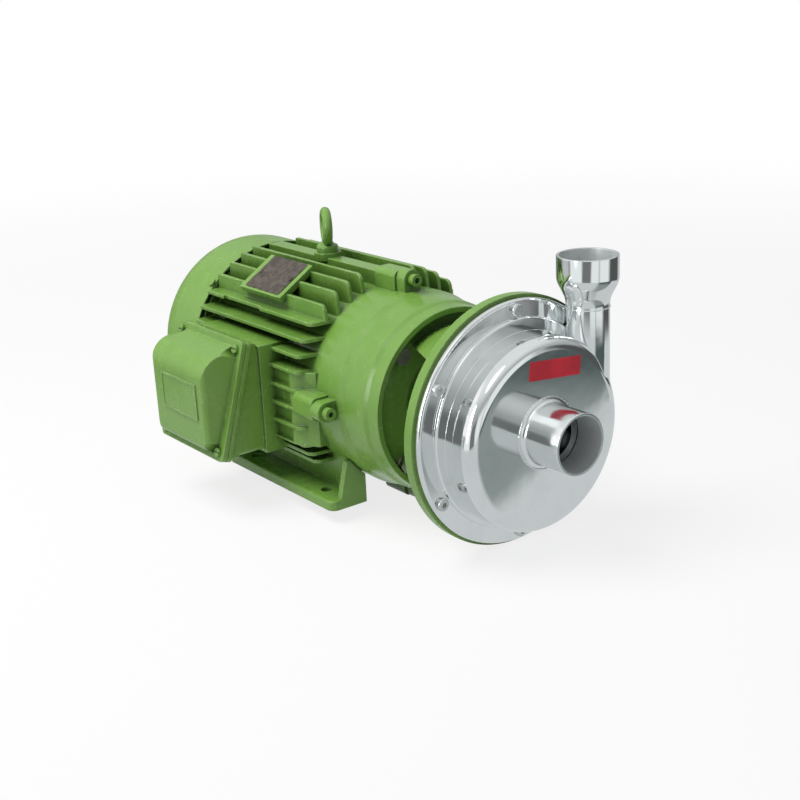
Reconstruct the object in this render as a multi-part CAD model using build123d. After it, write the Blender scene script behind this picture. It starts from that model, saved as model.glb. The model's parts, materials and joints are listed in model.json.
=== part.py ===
from build123d import *
import math
import os

# Centrifugal pump close-coupled to a foot-mounted motor, in millimetres.
# Frame: +X towards the suction nozzle, +Y the discharge side, +Z up.
# The origin is the centre of the four foot holes, on the plane the feet stand on.
# Shapes on the shaft are drawn about the X axis and lifted to the shaft height when they are written.

# Shaft line and feet
shaft_height = 112.0
foot_spacing_x = 140.0
foot_spacing_y = 190.0
foot_hole_d = 12.0
foot_length = 210.0
foot_span = 224.0
foot_width = 44.0
foot_thickness = 11.0
foot_web = 12.0
foot_end_web = 7.0
foot_web_top = -55.0
foot_relief = 0.8

# Motor frame
frame_rear = -150.0
frame_front = 98.0
stator_r = 92.0
frame_wall = 11.5
fin_height = 20.0
fin_thickness = 3.8
fin_pitch = 16.0
first_fin_y = 30.0
fin_rows = 4
fin_front = 67.5
far_fin_front = 80.0
fin_rear_gap = 1.5
fin_corner = 8.0
fin_lean = 4.0
side_fin_heights = (77.5, 62.0, 47.0, 30.5, 10.0, -10.0, -30.0, -50.0, -61.0, -71.0)
side_fin_height = 14.5
bottom_fin_height = 4.5
fin_notch = (-111.0, -36.0, 3.0)
ridge_width = 18.0
ridge_height = 15.5
lug_r = 10.5
lug_block = 34.0
lug_stand = 12.5
rear_bolt_stand = 5.5

# Ribbed wall beside the terminal box
side_wall_low = -50.0
side_wall_high = 30.5
side_wall_reach = 13.0
side_wall_pocket = 5.0
side_wall_front = 50.0
side_wall_end = 76.0
side_wall_rib = 3.0

# Frame bolts and other metric fasteners: shank, head width and head height
m5 = (5.0, 8.0, 3.5)
m6 = (6.0, 10.0, 4.0)
m8 = (8.0, 13.0, 8.0)
m10 = (10.0, 16.0, 6.4)
washer_thickness = 1.6

# Angles of four fasteners round the shaft: square to the feet, and between
square_angles = (0, 90, 180, 270)
corner_angles = (45, 135, 225, 315)

# Drive-end shield
shield_band = 26.0
shield_step = 1.0
shield_shoulder = 1.5
shield_neck = 3.5
shield_lip = 7.0
shield_neck_length = 29.0
shield_lip_length = 19.0
recess_inset = 12.5
recess_depth = 27.0
shield_wall = 8.0
shield_lug = 14.0
shield_spigot_depth = 6.0
register_r = 65.0
register_height = 3.5

# Bearings: bore, outside diameter, width, ball diameter, ball count
front_bearing = (35.0, 80.0, 21.0, 13.49, 8)
rear_bearing = (30.0, 62.0, 16.0, 9.525, 9)
race_gap = 0.3
front_bearing_x = 110.0
rear_bearing_x = -175.0
housing_wall = 8.0
wave_washer_thickness = 0.8
oil_seal_width = 7.0
lip_gap = 0.05

# Stator and rotor
core_length = 130.0
core_centre_x = -17.0
air_gap = 0.5
stator_bore_r = 55.0
slot_count = 36
slot_depth = 20.0
slot_width = 5.0
slot_opening = 2.5
slot_liner = 0.3
winding_overhang = 30.0
core_seat_r = 22.0
cage_ring_length = 10.0
cage_ring_depth = 18.0
cage_vane_count = 9
cage_vane_length = 9.0

# Shaft
shaft_middle_r = 21.0
shaft_nose_r = 14.0
impeller_seat_r = 10.0
impeller_thread_r = 8.0
fan_seat_r = 11.0
shaft_tail_length = 6.2
key_width = 6.0
key_height = 6.0
fan_key_size = 5.0

# Cooling fan and its cover
fan_r = 98.0
fan_hub_r = 17.0
fan_hub_length = 30.0
fan_plate = 3.0
fan_blade_height = 26.0
fan_blade_count = 7
fan_gap = 4.0
cover_front_gap = 0.5
cover_length = 87.5
cover_stand = 15.5
cover_sheet = 2.0
cover_corner_length = 36.0
cover_corner_depth = 22.0
cover_rim_gap = 4.0
grille_slot = 6.0
grille_pitch = 12.0
grille_first_r = 24.0
grille_ring_count = 6
grille_bar = 7.0
circlip_thickness = 1.2

# Eyebolt
eye_x = -40.0
eye_stand = 5.0
eye_collar_r = 12.0
eye_collar_height = 8.0
eye_ring_r = 16.0
eye_wire_r = 5.3
eye_neck_r = 6.5
eye_turn = -28.0
eye_thread_r = 5.0
eye_thread_length = 14.0

# Nameplate on its pad across the fins
plate_pad_x = -86.0
plate_pad_length = 82.0
plate_pad_width = 52.0
plate_pad_thickness = 3.0
plate_pad_root = 4.0
plate_angle = 122.0
plate_end_margin = 9.0
plate_low_margin = 3.0
nameplate_length = 66.0
nameplate_width = 48.5
nameplate_thickness = 0.8
rivet_r = 1.6
rivet_length = 4.0

# Terminal box
box_x0 = -113.0
box_x1 = 10.0
box_stand = 26.5
box_low = -63.0
box_high = 49.0
box_wall = 5.0
lid_overhang = 5.0
lid_top_depth = 13.0
lid_top = 60.0
lid_bottom_depth = 50.0
lid_bottom = -64.0
lid_flange = 5.0
lid_wall = 3.0
lid_corner_r = 6.0
hood_depth = 15.0
hood_top = 44.0
hood_bottom = -50.0
hood_inset = 12.0
hood_foot_inset = 5.0
hood_top_round = 26.0
hood_low_round = 8.0
hood_edge_round = 6.0
screw_pocket_r = 8.5
lid_screw_inset = 9.5
gasket_thickness = 1.5
panel_length = 74.0
panel_height = 40.0
panel_raise = 1.2
panel_side = 4.0
panel_middle = 0.0
entry_r = 12.5
entry_boss_r = 17.0
entry_boss = 4.0
entry_depth = 11.0
entry_spacing = 52.0
plug_af = 30.0
plug_head = 7.0
wire_hole_r = 16.0

# Terminal block
block_length = 74.0
block_width = 44.0
block_thickness = 12.0
terminal_pitch = 22.0
terminal_rows = 24.0
terminal_r = 2.5

# Lantern between motor and pump
lantern_clearance = 0.5
lantern_flange = 14.0
lantern_bolt_inset = 10.0
lantern_rear_inset = 15.0
lantern_front_r = 101.0
lantern_wall = 9.0
lantern_window = 130.0
window_corner = 10.0
lantern_gap_to_disc = 5.0
lantern_bore_r = 50.0
disc_rear = 250.0
disc_thickness = 12.0
disc_r = 125.0
disc_bore_r = 60.0
disc_edge = 1.5

# Casing
flange_r = 122.0
flange_thickness = 7.0
flange_round = 3.2
casing_bolt_circle_r = 112.5
casing_bolt_angles = (90.0, 150.0, 210.0, 270.0, 330.0, 22.0)
casing_head_r = 6.3
casing_head = 4.2
step_r = 104.5
step_height = 4.0
drum_y = 2.0
drum_z = -5.0
drum_r = 96.5
drum_corner = 12.0
casing_depth = 47.0
casing_sheet = 3.0

# Nozzles, from standard pipe
suction_pipe_r = 30.15
suction_bore_r = 27.4
suction_reach = 45.5
suction_bore_depth = 33.0
throat_r = 22.0
throat_inner = 8.0
discharge_y = 76.0
discharge_root = 0.0
neck_set_back = 0.2
neck_r = 21.2
neck_bore_r = 18.5
socket_bore_depth = 26.0
socket_length = 25.5
reducer_length = 25.0
discharge_height = 155.3
weld_r = 2.0

# Back plate and mechanical seal
plate_thickness = 3.0
plate_r = 108.0
pocket_r = 33.0
pocket_depth = 30.0
seat_boss_length = 10.0
seat_r = 23.5
seat_cup = 2.5
seat_length = 8.0
seat_bore_gap = 0.7
cup_lip_r = 20.0
cup_lip = 2.5
seal_film = 0.05
sleeve_r = 17.0
sleeve_start = 214.0
seal_ring_r = 23.0
seal_ring_length = 5.0
bellows_r = 20.0
bellows_length = 12.0
spring_r = 22.0
spring_wire_r = 0.9
spring_turns = 4.0
retainer_length = 3.0
oring_r = 102.8
oring_section_r = 1.2

# Impeller
impeller_r = 80.0
impeller_back_gap = 6.0
impeller_shroud = 3.0
impeller_outlet = 8.0
impeller_inlet = 15.0
neck_wall = 4.0
neck_running_gap = 0.6
impeller_neck_end_gap = 1.5
impeller_hub_r = 14.0
hub_length = 24.0
blade_count = 6
blade_thickness = 3.0
blade_inlet_r = 27.0
blade_sweep = 105.0
nut_af = 24.0
nut_length = 15.0

# Flinger
flinger_x = 176.0
flinger_length = 9.0
flinger_r = 26.0
flinger_lip = 2.5

# Label
label_length = 65.0
label_height = 18.5
label_thickness = 0.4
label_y = 12.0
label_z = 61.0
label_turn = -6.0

# Lengths worked out from the values above
frame_r = stator_r + frame_wall
fin_tip_r = frame_r + fin_height
side_fin_reach = frame_r + side_fin_height
bottom_fin_reach = frame_r + bottom_fin_height
ridge_top = frame_r + ridge_height
ridge_front = frame_front
eye_seat = ridge_top + eye_stand
lug_circle_r = frame_r + lug_stand
rear_bolt_circle_r = stator_r + rear_bolt_stand
shield_shoulder_r = frame_r - shield_shoulder
shield_neck_r = frame_r - shield_neck
shield_lip_r = frame_r - shield_lip
recess_r = frame_r - recess_inset
lantern_bolt_circle_r = recess_r - lantern_bolt_inset
lantern_rear_r = recess_r - lantern_rear_inset
plate_seat_r = fin_tip_r + plate_pad_thickness
plate_x = plate_pad_x + plate_end_margin
box_seat = frame_r + box_stand
box_middle = (box_x0 + box_x1) / 2
box_floor = box_seat + gasket_thickness + box_wall
lid_top_reach = box_seat + lid_top_depth
lid_bottom_reach = box_seat + lid_bottom_depth
hood_reach = lid_bottom_reach + hood_depth
entry_y = -(box_seat + lid_bottom_reach) / 2
cover_r = frame_r + cover_stand
cover_front = frame_rear - cover_front_gap
cover_rear = cover_front - cover_length
cover_rim_r = cover_r - cover_sheet - cover_rim_gap
fan_front = rear_bearing_x - wave_washer_thickness - fan_gap - 3.0
fan_rear = fan_front - fan_hub_length
circlip_middle = fan_rear - circlip_thickness / 2
shaft_tail = fan_rear - shaft_tail_length
shoulder_x = frame_front + shield_band
neck_x = shoulder_x + shield_neck_length
lip_x = neck_x + shield_lip_length
seat_face = lip_x - recess_depth
shield_back = seat_face - shield_wall
lantern_face = seat_face + lantern_flange
disc_front = disc_rear + disc_thickness
plate_front = disc_front + plate_thickness
flange_front = disc_front + flange_thickness
step_front = flange_front + step_height
casing_face = disc_front + casing_depth
casing_inside = casing_face - casing_sheet
suction_end = casing_face + suction_reach
pocket_rear = disc_front - pocket_depth
boss_rear = pocket_rear - seat_boss_length
seat_face_x = pocket_rear - seat_boss_length + cup_lip + seat_length
impeller_back = plate_front + impeller_back_gap
impeller_eye_r = throat_r
neck_outer_r = impeller_eye_r + neck_wall
discharge_x = casing_face - neck_r - neck_set_back
core_rear = core_centre_x - core_length / 2
core_front = core_centre_x + core_length / 2
rear_shield_face = frame_rear - 12.0


def rod(x0, x1, r, y=0.0, z=0.0):
    """Round bar along X."""
    return Pos((x0 + x1) / 2, y, z) * Rot(0, 90, 0) * Cylinder(r, x1 - x0)


def ring(x0, x1, r_out, r_in, y=0.0, z=0.0):
    """Round tube along X."""
    return rod(x0, x1, r_out, y, z) - rod(x0 - 1, x1 + 1, r_in, y, z)


def block(x0, x1, y0, y1, z0, z1):
    """Rectangular block between two corners."""
    place = Pos((x0 + x1) / 2, (y0 + y1) / 2, (z0 + z1) / 2)
    return place * Box(abs(x1 - x0), abs(y1 - y0), abs(z1 - z0))


def turned(points):
    """Solid of revolution about the shaft, from (x, radius) points."""
    outline = Polyline(*[(x, r) for x, r in points], close=True)
    return revolve(Plane.XZ * make_face(outline), Axis.X)


def on_circle(shape, radius, angles):
    """Copies of a shape at the given angles about the shaft, counted from +Y towards +Z."""
    copies = []
    for angle in angles:
        y = radius * math.cos(math.radians(angle))
        z = radius * math.sin(math.radians(angle))
        copies.append(Pos(0, y, z) * shape)
    return copies


def hexagon(x0, x1, width):
    """Hexagonal prism along X, given across its flats."""
    section = RegularPolygon(width / 2, 6, major_radius=False)
    return extrude(Plane.YZ.offset(x0) * section, x1 - x0)


def socket_screw(seat_x, size, length, washer=0.0):
    """Cylinder-head screw along X, its head in front of the seat and its shank behind."""
    shank, head, height = size
    under = seat_x + washer
    screw = rod(under, under + height, head / 2) + rod(seat_x - length, under, shank / 2)
    screw -= hexagon(under + height * 0.45, under + height + 1, head * 0.42)
    return screw


def hex_screw(seat_x, size, length, washer=0.0):
    """Hexagon-head screw along X, its head in front of the seat."""
    shank, head, height = size
    under = seat_x + washer
    return hexagon(under, under + height, head) + rod(seat_x - length, under, shank / 2)


def arc_slot(x0, x1, r0, r1, bar, bars):
    """A ring-shaped cut left whole at a number of straight bars."""
    cut = ring(x0, x1, r1, r0)
    for step in range(bars):
        spoke = block(x0 - 1, x1 + 1, -bar / 2, bar / 2, 0, r1 + 1)
        cut -= Rot(step * 360 / bars, 0, 0) * spoke
    return cut


def frame_barrel():
    """Outer skin of the barrel, still solid, with its smooth front band."""
    return rod(frame_rear, frame_front, frame_r)


def upright_fin(y, reach_r, front, lowest=0.0):
    """One upright fin over the barrel, with a rounded and slightly leaning front end."""
    top = math.sqrt(reach_r ** 2 - y ** 2)
    root = max(math.sqrt(frame_r ** 2 - y ** 2) - 3.0, lowest)
    rear = frame_rear + fin_rear_gap
    outline = FilletPolyline(
        (rear, root), (rear, top), (front - fin_lean, top), (front, root),
        radius=[0, 2, min(fin_corner, (top - root) / 2), 0], close=True)
    plate = extrude(Plane.XZ * make_face(outline), fin_thickness / 2, both=True)
    return Pos(0, y, 0) * plate


def level_fin(z, side, reach):
    """One level fin at the side of the barrel."""
    root = math.sqrt(max(frame_r ** 2 - z ** 2, 1.0)) - 3.0
    rear = frame_rear + fin_rear_gap
    outline = FilletPolyline(
        (rear, root), (rear, reach), (fin_front - fin_lean, reach), (fin_front, root),
        radius=[0, 2, fin_corner, 0], close=True)
    plate = extrude(Plane.XY * make_face(outline), fin_thickness / 2, both=True)
    if side < 0:
        plate = mirror(plate, Plane.XZ)
    return Pos(0, 0, z) * plate


def fins():
    """All cooling fins: upright on top and below, level at the sides."""
    parts = []
    for row in range(fin_rows):
        y = first_fin_y + fin_pitch * row
        lowest = side_fin_heights[0] if y > side_fin_heights[0] else 0.0
        parts.append(upright_fin(y, fin_tip_r, far_fin_front, lowest))
        parts.append(upright_fin(-y, fin_tip_r, fin_front, lowest))
    for z in side_fin_heights:
        reach = min(side_fin_reach, math.sqrt(fin_tip_r ** 2 - z ** 2))
        parts += [level_fin(z, 1, reach), level_fin(z, -1, reach)]
    for y in (-fin_pitch, 0.0, fin_pitch):
        parts.append(mirror(upright_fin(y, bottom_fin_reach, fin_front), Plane.XY))
    return parts


def side_wall():
    """Ribbed wall beside the terminal box, with shallow pockets and a slanted front end."""
    reach = frame_r + side_wall_reach
    outline = Polyline(
        (box_x1, -frame_r + 12), (box_x1, -reach), (side_wall_front, -reach),
        (side_wall_end, -frame_r + 1), (side_wall_end, -frame_r + 12), close=True)
    height = side_wall_high - side_wall_low
    wall = extrude(Plane.XY.offset(side_wall_low) * make_face(outline), height)
    ribs = [z for z in side_fin_heights if side_wall_low <= z <= side_wall_high]
    for upper, lower in zip(ribs, ribs[1:]):
        wall -= block(box_x1 + side_wall_rib, side_wall_front - side_wall_rib, -reach - 1,
                      -reach + side_wall_pocket, lower + side_wall_rib / 2, upper - side_wall_rib / 2)
    return wall


def foot_rail(side):
    """One foot: a flat rail, an upright web up to the barrel and a web at each end."""
    outer = foot_span / 2
    inner = outer - foot_width
    half = foot_length / 2
    base = -shaft_height
    rail = block(-half, half, inner, outer, base, base + foot_thickness)
    rail = fillet(rail.edges().filter_by(Axis.Z).group_by(Axis.Y)[-1], 9)
    rail = fillet(rail.faces().sort_by(Axis.Z)[-1].edges().sort_by(Axis.Y)[-1], 2.5)
    web = block(-half, half, inner, inner + foot_web, base, foot_web_top)
    ends = []
    for x0 in (-half, half - foot_end_web):
        outline = Polyline(
            (inner, base), (outer - 12, base), (outer - 12, base + foot_thickness),
            (inner + foot_web + 10, foot_web_top - 7), (inner, foot_web_top), close=True)
        ends.append(extrude(Plane.YZ.offset(x0) * make_face(outline), foot_end_web))
    shape = rail + [web] + ends
    shape -= rod(frame_front, half + 1, frame_r + shield_step + foot_relief)
    if side < 0:
        shape = mirror(shape, Plane.XZ)
    return shape


def frame_lug(angle):
    """Square lug at the front of the frame that takes an end-shield bolt."""
    pad = block(frame_front - lug_block, frame_front, frame_r - 8, lug_circle_r + lug_r - 2,
                -lug_r - 2, lug_r + 2)
    pad = fillet(pad.edges().filter_by(Axis.X).group_by(Axis.Y)[-1], lug_r - 4)
    return Rot(angle, 0, 0) * pad


def motor_frame():
    """Cast frame with fins, ridge, feet, lugs and the two pads."""
    body = frame_barrel()
    body += fins()
    ridge = block(frame_rear + fin_rear_gap, ridge_front - 2, -ridge_width / 2, ridge_width / 2,
                  frame_r - 4, ridge_top)
    body += [ridge]
    boss_height = eye_stand + 4
    body += [Pos(eye_x, 0, eye_seat - boss_height / 2) * Cylinder(eye_collar_r + 3, boss_height)]
    body += [foot_rail(1), foot_rail(-1)]
    body += [frame_lug(angle) for angle in square_angles]
    body += [block(box_x0 - 3, box_x1 + 3, -box_seat, -frame_r + 28, box_low - 3, box_high + 3)]
    body += [side_wall()]
    notch_x0, notch_x1, notch_depth = fin_notch
    notch_y = -math.sqrt(fin_tip_r ** 2 - side_fin_heights[0] ** 2)
    body -= block(notch_x0, notch_x1, notch_y - 1, notch_y + notch_depth,
                  side_fin_heights[0] - fin_thickness, side_fin_heights[0] + fin_thickness)
    plate_pad = block(plate_pad_x, plate_pad_x + plate_pad_length, -plate_pad_width / 2,
                      plate_pad_width / 2, fin_tip_r - plate_pad_root, plate_seat_r)
    body += [Rot(plate_angle - 90, 0, 0) * plate_pad]
    body -= rod(frame_rear - 1, frame_front + 1, stator_r)
    for x in (-foot_spacing_x / 2, foot_spacing_x / 2):
        for y in (-foot_spacing_y / 2, foot_spacing_y / 2):
            body -= Pos(x, y, -shaft_height) * Cylinder(foot_hole_d / 2, foot_thickness * 4)
    body -= Pos(box_middle, -box_seat + 20, 0) * Rot(90, 0, 0) * Cylinder(wire_hole_r, 60)
    body -= Pos(eye_x, 0, eye_seat) * Cylinder(eye_thread_r, eye_thread_length * 2)
    body -= on_circle(rod(frame_front - 22, frame_front + 1, m8[0] / 2), lug_circle_r, square_angles)
    body -= on_circle(rod(frame_rear - 1, frame_rear + 16, m6[0] / 2), rear_bolt_circle_r,
                      corner_angles)
    body -= box_screw_holes()
    body -= [Rot(plate_angle - 90, 0, 0) * pin for pin in rivets(rivet_length, 0)]
    return body


def box_screw_places():
    """Corner places of the screws that hold the terminal box to its pad."""
    inset = box_wall + 9.0
    xs = (box_x0 + inset, box_x1 - inset)
    zs = (box_low + inset, box_high - inset)
    return [(x, z) for x in xs for z in zs]


def box_screw_holes():
    """Blind threads in the pad of the frame."""
    return [Pos(x, -box_seat + 5, z) * Rot(90, 0, 0) * Cylinder(m5[0] / 2, 10.01)
            for x, z in box_screw_places()]


def drive_end_shield():
    """Front end shield: flared band, neck, thin recessed lip, bearing housing and four lugs."""
    outer = frame_r + shield_step
    lip_in = recess_r
    hub_r = front_bearing[1] / 2 + housing_wall
    bearing_end = front_bearing_x + front_bearing[2]
    seal_r = 27.0
    shell = turned([
        (frame_front - shield_spigot_depth, stator_r),
        (frame_front, stator_r), (frame_front, outer),
        (shoulder_x - 8, outer), (shoulder_x, shield_shoulder_r),
        (neck_x, shield_neck_r), (neck_x + 5, shield_lip_r + 1.2), (lip_x, shield_lip_r),
        (lip_x, lip_in), (seat_face, lip_in),
        (seat_face, register_r), (seat_face + register_height, register_r),
        (seat_face + register_height, register_r - 12), (seat_face, register_r - 12),
        (seat_face, seal_r), (bearing_end, seal_r),
        (bearing_end, front_bearing[1] / 2), (front_bearing_x, front_bearing[1] / 2),
        (front_bearing_x, hub_r), (shield_back, hub_r + 4), (shield_back, stator_r - 8),
        (frame_front - shield_spigot_depth, stator_r - 6)])
    lugs = on_circle(rod(frame_front, frame_front + shield_lug, lug_r), lug_circle_r, square_angles)
    bridge = block(frame_front, frame_front + shield_lug, outer - 6, lug_circle_r, -lug_r, lug_r)
    bridges = [Rot(angle, 0, 0) * bridge for angle in square_angles]
    pads = on_circle(rod(shield_back - 14, shield_back + 1, m10[1] / 2 + 3), lantern_bolt_circle_r,
                     corner_angles)
    shell += lugs + bridges + pads
    shell -= on_circle(rod(frame_front - 1, frame_front + shield_lug + 1, m8[0] / 2), lug_circle_r,
                       square_angles)
    shell -= on_circle(rod(shield_back - 15, seat_face + 1, m10[0] / 2), lantern_bolt_circle_r,
                       corner_angles)
    slot = block(lip_x - 26, lip_x - 4, shield_neck_r - 2.5, shield_neck_r + 2, -1.4, 1.4)
    shell -= Rot(218, 0, 0) * Rot(0, 0, 18) * slot
    return shell


def rear_end_shield():
    """Rear end shield with its bearing housing, bolted inside the fan cover."""
    hub_r = rear_bearing[1] / 2 + housing_wall
    housing_end = rear_bearing_x - wave_washer_thickness
    shell = turned([
        (frame_rear + shield_spigot_depth, stator_r), (frame_rear, stator_r),
        (frame_rear, cover_rim_r), (rear_shield_face + 4, cover_rim_r), (rear_shield_face, cover_rim_r - 4),
        (rear_shield_face, hub_r + 2), (housing_end - 3, hub_r - 1), (housing_end - 3, 20.0),
        (housing_end, 20.0), (housing_end, rear_bearing[1] / 2), (frame_rear - 6, rear_bearing[1] / 2),
        (frame_rear - 6, hub_r), (frame_rear - 4, stator_r - 8),
        (frame_rear + shield_spigot_depth, stator_r - 6)])
    inside_cover = rod(cover_rear, 0, cover_r - cover_sheet)
    for angle in corner_angles:
        ear = block(rear_shield_face + 1, frame_rear, frame_r, cover_r, -9, 9)
        shell += Rot(angle, 0, 0) * ear & inside_cover
    shell -= on_circle(rod(rear_shield_face - 1, frame_rear + 1, m6[0] / 2), rear_bolt_circle_r,
                       corner_angles)
    for angle in corner_angles:
        hole = Pos(rear_shield_face + 7, cover_r - 10, 0) * Rot(90, 0, 0) * Cylinder(m5[0] / 2, 24)
        shell -= Rot(angle, 0, 0) * hole
    return shell


def frame_bolts():
    """Four bolts that hold the drive-end shield to the frame."""
    seat = frame_front + shield_lug
    return on_circle(socket_screw(seat, m8, shield_lug + 18), lug_circle_r, square_angles)


def rear_shield_bolts():
    """Four bolts that hold the rear shield, with their heads towards the fan."""
    screw = hex_screw(0, m6, 12 + 14)
    turned_round = Pos(rear_shield_face, 0, 0) * Rot(0, 180, 0) * screw
    return on_circle(turned_round, rear_bolt_circle_r, corner_angles)


def cover_form(front, skin):
    """Solid round form of the fan cover, its skin taken off, with an elliptical corner."""
    centre = (cover_rear + cover_corner_length, cover_r - cover_corner_depth)
    side_r = cover_r - skin
    back = cover_rear + skin
    corner = EllipticalCenterArc(
        centre, cover_corner_length - skin, cover_corner_depth - skin, start_angle=90, arc_size=90)
    outline = [
        Line((front, 0), (front, side_r)), Line((front, side_r), (centre[0], side_r)), corner,
        Line((back, centre[1]), (back, 0)), Line((back, 0), (front, 0))]
    return revolve(Plane.XZ * make_face(outline), Axis.X)


def fan_cover():
    """Pressed cover with a round corner and ring-shaped air slots in its rear face."""
    shell = cover_form(cover_front, 0) - cover_form(cover_front + 1, cover_sheet)
    for index in range(grille_ring_count):
        r0 = grille_first_r + index * grille_pitch
        shell -= Rot(45 * (index % 2), 0, 0) * arc_slot(
            cover_rear - 1, cover_rear + cover_sheet + 1, r0, r0 + grille_slot, grille_bar, 4)
    shell -= cover_screw_set(m5[0] / 2 + 0.3, 0)
    return shell


def cover_screw_set(radius, head_r):
    """Radial shanks at the four ears, with a round head outside the sheet when one is asked for."""
    shapes = []
    for angle in corner_angles:
        shank = Pos(rear_shield_face + 7, cover_r - 6, 0) * Rot(90, 0, 0) * Cylinder(radius, 12.01)
        if head_r > 0:
            head = Pos(rear_shield_face + 7, cover_r + 1.3, 0) * Rot(90, 0, 0) * Cylinder(head_r, 2.6)
            shank += head
        shapes.append(Rot(angle, 0, 0) * shank)
    return shapes


def eyebolt():
    """Lifting eyebolt with a collar and a threaded shank."""
    base = Pos(0, 0, eye_collar_height / 2) * Cylinder(eye_collar_r, eye_collar_height)
    base = fillet(base.faces().sort_by(Axis.Z)[-1].edges(), 3)
    stem = Pos(0, 0, -eye_thread_length / 2) * Cylinder(eye_thread_r, eye_thread_length)
    centre = eye_collar_height - 1.5 + eye_ring_r + eye_wire_r
    eye = Pos(0, 0, centre) * Rot(90, 0, 0) * Torus(eye_ring_r, eye_wire_r)
    neck = Pos(0, 0, eye_collar_height) * Cone(eye_neck_r + 2, eye_neck_r, 6.0)
    shape = base + stem + eye + neck
    return Pos(eye_x, 0, eye_seat) * Rot(0, 0, eye_turn) * shape


def nameplate():
    """Plain plate on its pad."""
    low = -plate_pad_width / 2 + plate_low_margin
    plate = block(plate_x, plate_x + nameplate_length, low, low + nameplate_width,
                  plate_seat_r, plate_seat_r + nameplate_thickness)
    plate = fillet(plate.edges().filter_by(Axis.Z), 2.0)
    plate -= rivets(nameplate_thickness * 4, 0)
    return Rot(plate_angle - 90, 0, 0) * plate


def rivets(height, head_r):
    """Two rivets at the ends of the nameplate."""
    shapes = []
    for x in (plate_x + 4.0, plate_x + nameplate_length - 4.0):
        pin = Pos(x, 0, plate_seat_r + nameplate_thickness - height / 2) * Cylinder(rivet_r, height)
        if head_r > 0:
            pin += Pos(x, 0, plate_seat_r + nameplate_thickness + 0.5) * Cylinder(head_r, 1.0)
        shapes.append(pin)
    return shapes


def lid_plane(offset=0.0):
    """Plane of the lid joint: its x along +X, its y up the slope and its normal outwards."""
    rise = Vector(0, lid_bottom_reach - lid_top_reach, lid_top - lid_bottom).normalized()
    middle = Vector(box_middle, -(lid_top_reach + lid_bottom_reach) / 2, (lid_top + lid_bottom) / 2)
    normal = Vector(1, 0, 0).cross(rise)
    return Plane(origin=middle + normal * offset, x_dir=(1, 0, 0), z_dir=normal)


def lid_size():
    """Length and height of the lid flange."""
    length = box_x1 - box_x0 + 2 * lid_overhang
    height = math.hypot(lid_bottom_reach - lid_top_reach, lid_top - lid_bottom)
    return length, height


def lid_corners(inset):
    """Places of the lid screws in the plane of the lid."""
    length, height = lid_size()
    return [(sx * (length / 2 - inset), sy * (height / 2 - inset)) for sx in (-1, 1) for sy in (-1, 1)]


def entry_places():
    """X places of the two cable entries in the floor of the box."""
    return (box_middle - entry_spacing / 2, box_middle + entry_spacing / 2)


def terminal_box_body():
    """Deep box from the frame pad to the sloping joint, with a flange and two threaded entries."""
    length, height = lid_size()
    reach = lid_bottom_reach + 20
    seat = box_seat + gasket_thickness
    solid = block(box_x0, box_x1, -reach, -seat, box_low, box_high)
    solid = fillet(solid.edges().filter_by(Axis.Y), lid_corner_r)
    for x in entry_places():
        solid += Pos(x, entry_y, box_low - entry_boss / 2) * Cylinder(entry_boss_r, entry_boss)
    hollow = block(box_x0 + box_wall, box_x1 - box_wall, -reach - 1, -seat - box_wall,
                   box_low - entry_boss + entry_depth, box_high - box_wall)
    rim = extrude(lid_plane(-lid_flange) * RectangleRounded(length, height, lid_corner_r), lid_flange)
    pillars = [extrude(lid_plane(-16) * Pos(x, y) * Rectangle(15, 15), 16)
               for x, y in lid_corners(lid_screw_inset)]
    outside = extrude(lid_plane() * Rectangle(400, 400), 120)
    shape = solid + [rim]
    shape -= hollow
    shape += [pillar & block(box_x0, box_x1, -reach, -seat, box_low, box_high + 20) for pillar in pillars]
    shape -= outside
    shape -= Pos(box_middle, -seat, 0) * Rot(90, 0, 0) * Cylinder(wire_hole_r, 30)
    for x in entry_places():
        shape -= Pos(x, entry_y, box_low) * Cylinder(entry_r, 40)
    for x, y in lid_corners(lid_screw_inset):
        shape -= extrude(lid_plane(-14) * Pos(x, y) * Circle(m5[0] / 2), 15)
    for x, z in box_screw_places() + [(earth_place(), 0.0)]:
        shape -= Pos(x, -seat, z) * Rot(90, 0, 0) * Cylinder(m5[0] / 2, 20)
    return shape


def box_base_gasket():
    """Flat gasket between the frame pad and the box."""
    sheet = block(box_x0, box_x1, -box_seat - gasket_thickness, -box_seat, box_low, box_high)
    sheet -= Pos(box_middle, -box_seat, 0) * Rot(90, 0, 0) * Cylinder(wire_hole_r, 10)
    for x, z in box_screw_places():
        sheet -= Pos(x, -box_seat, z) * Rot(90, 0, 0) * Cylinder(m5[0] / 2, 10)
    return sheet


def box_lid_gasket():
    """Gasket in the sloping joint."""
    length, height = lid_size()
    outline = RectangleRounded(length - 1, height - 1, lid_corner_r - 0.5)
    sheet = extrude(lid_plane() * outline, gasket_thickness)
    sheet -= extrude(lid_plane(-1) * Rectangle(length - 26, height - 26), gasket_thickness + 2)
    for x, y in lid_corners(lid_screw_inset):
        sheet -= extrude(lid_plane(-1) * Pos(x, y) * Circle(m5[0] / 2), gasket_thickness + 2)
    return sheet


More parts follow.
